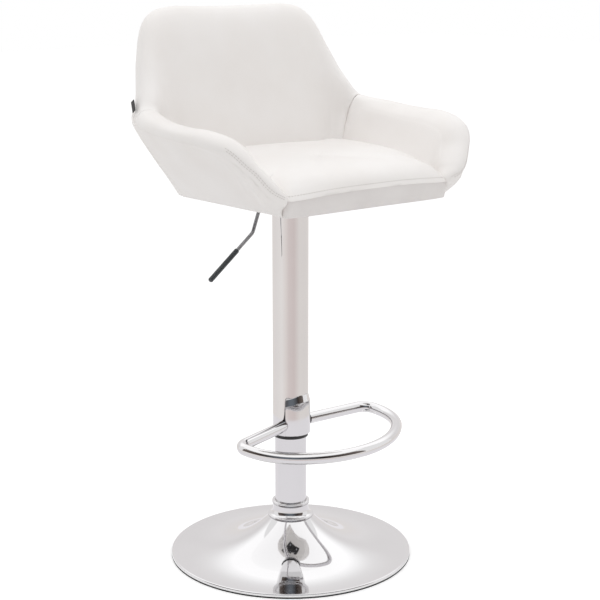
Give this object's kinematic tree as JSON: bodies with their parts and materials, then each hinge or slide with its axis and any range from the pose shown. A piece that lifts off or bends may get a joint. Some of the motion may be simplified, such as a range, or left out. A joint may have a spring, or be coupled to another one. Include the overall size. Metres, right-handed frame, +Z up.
{
  "type": "adjustable swivel stool",
  "caption": "Gas-lift bar stool: white upholstered bucket seat with low arms on a chromed column, with a D-shaped footrest, a side lever and a trumpet base.",
  "frame": {"origin": "on the column's axis at the floor, with the gas lift fully down", "axes": "+Z up along the column; the sitter faces -Y and the backrest is on the +Y side; the height lever comes out on the -X side, at the sitter's right hand"},
  "size_m": [0.4988, 0.3895, 0.8683],
  "materials": {
    "chrome": "mirror-polished chrome plate",
    "steel": "ground and turned steel",
    "zinc": "zinc-plated fasteners",
    "black_steel": "black semi-gloss paint",
    "ballast": "dark primed iron",
    "rubber": "black rubber",
    "black_plastic": "black moulded plastic",
    "grey_plastic": "dark grey gloss plastic",
    "plywood": "raw plywood",
    "leatherette": "white leatherette cover over foam",
    "dust_cloth": "white leatherette panel that closes the seat's underside",
    "tag_cloth": "black woven tag, blank"
  },
  "bodies": {
    "base": {"floor_ring": "rubber", "weight_plate": "ballast", "ballast_disc": "ballast", "base_cover": "chrome", "column_hub": "steel", "hub_bolts": "zinc", "collar": "chrome", "outer_tube": "chrome", "tube_end_plate": "steel", "guide_bush": "black_plastic", "bearing_lower_race": "steel", "bearing_balls": "steel"},
    "swivel": {"bearing_upper_race": "steel", "rod_clip": "steel", "piston_rod": "steel", "piston": "steel", "bumper": "rubber"},
    "seat": {"gas_cylinder": "black_steel", "rod_gland": "black_plastic", "cover_sleeve": "chrome", "sleeve_guide_ring": "black_plastic", "sleeve_top_ring": "black_plastic", "footrest_bracket": "chrome", "footrest_loop": "chrome", "seat_plate": "black_steel", "mechanism_housing": "black_steel", "cone_hub": "black_steel", "pivot_pin": "steel", "seat_bolts": "zinc", "seat_washers": "zinc", "tee_nuts": "zinc", "dust_cover": "dust_cloth", "seat_board": "plywood", "inner_shell": "plywood", "back_pad": "leatherette", "left_arm_pad": "leatherette", "right_arm_pad": "leatherette", "seat_cushion": "leatherette", "side_tag": "tag_cloth"},
    "lever": {"lever_rod": "chrome", "lever_grip": "grey_plastic"},
    "valve": {"valve_pin": "steel"}
  },
  "joints": [
    {"name": "seat_swivel", "type": "hinge", "parent": "base", "child": "swivel", "pos_m": [0, 0, 0], "axis": [0, 0, 1], "continuous": true},
    {"name": "seat_height", "type": "slide", "parent": "swivel", "child": "seat", "axis": [0, 0, 1], "range_m": [0, 0.21]},
    {"name": "height_lever", "type": "hinge", "parent": "seat", "child": "lever", "pos_m": [-0.024, 0, 0.5711], "axis": [0, 1, 0], "range_deg": [0, 8], "stiffness_Nm_per_rad": 0.6, "springref_deg": -8.59},
    {"name": "valve_press", "type": "slide", "parent": "seat", "child": "valve", "axis": [0, 0, -1], "range_m": [0, 0.0036]}
  ],
  "couplings": [
    {"joint": "valve_press", "follows": "height_lever", "m_per_rad": 0.025}
  ]
}
